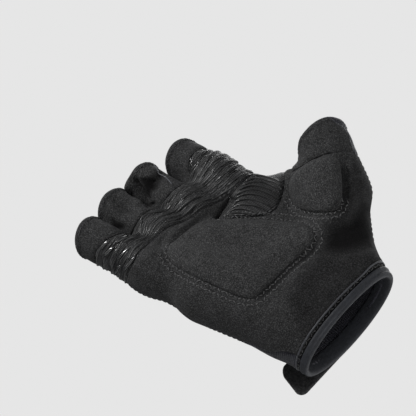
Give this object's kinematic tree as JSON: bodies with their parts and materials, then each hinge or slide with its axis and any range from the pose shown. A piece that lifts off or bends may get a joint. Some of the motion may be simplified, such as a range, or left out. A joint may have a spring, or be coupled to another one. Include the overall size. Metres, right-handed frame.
{
  "type": "short-finger cycling glove",
  "caption": "Right-hand short-finger glove in its worn shape, with domed palm pads, a ribbed grip band and an open wrist.",
  "frame": {"origin": "middle of the wrist opening, in the plane of the binding's lower edge", "axes": "+Z from the wrist opening to the fingers, +X toward the thumb, -Y out of the palm, +Y out of the back"},
  "size_m": [0.1242, 0.0556, 0.1354],
  "materials": {
    "suede": "soft napped suede, dark grey",
    "knit": "stretch knit, navy black",
    "grip_mesh": "open mesh with glossy silicone ribs, black",
    "tape": "smooth elastic binding, navy black",
    "strap": "brushed loop cloth, black"
  },
  "bodies": {
    "root": {"palm_panel": "suede", "back_panel": "knit", "grip_band": "grip_mesh", "web_panel": "grip_mesh", "index_stall": "suede", "middle_stall": "suede", "ring_stall": "suede", "little_stall": "suede", "thumb_stall": "suede", "thumb_back": "knit", "palm_pad": "suede", "thumb_pad": "suede", "cuff_binding": "tape", "wrist_tab": "strap"}
  },
  "joints": []
}
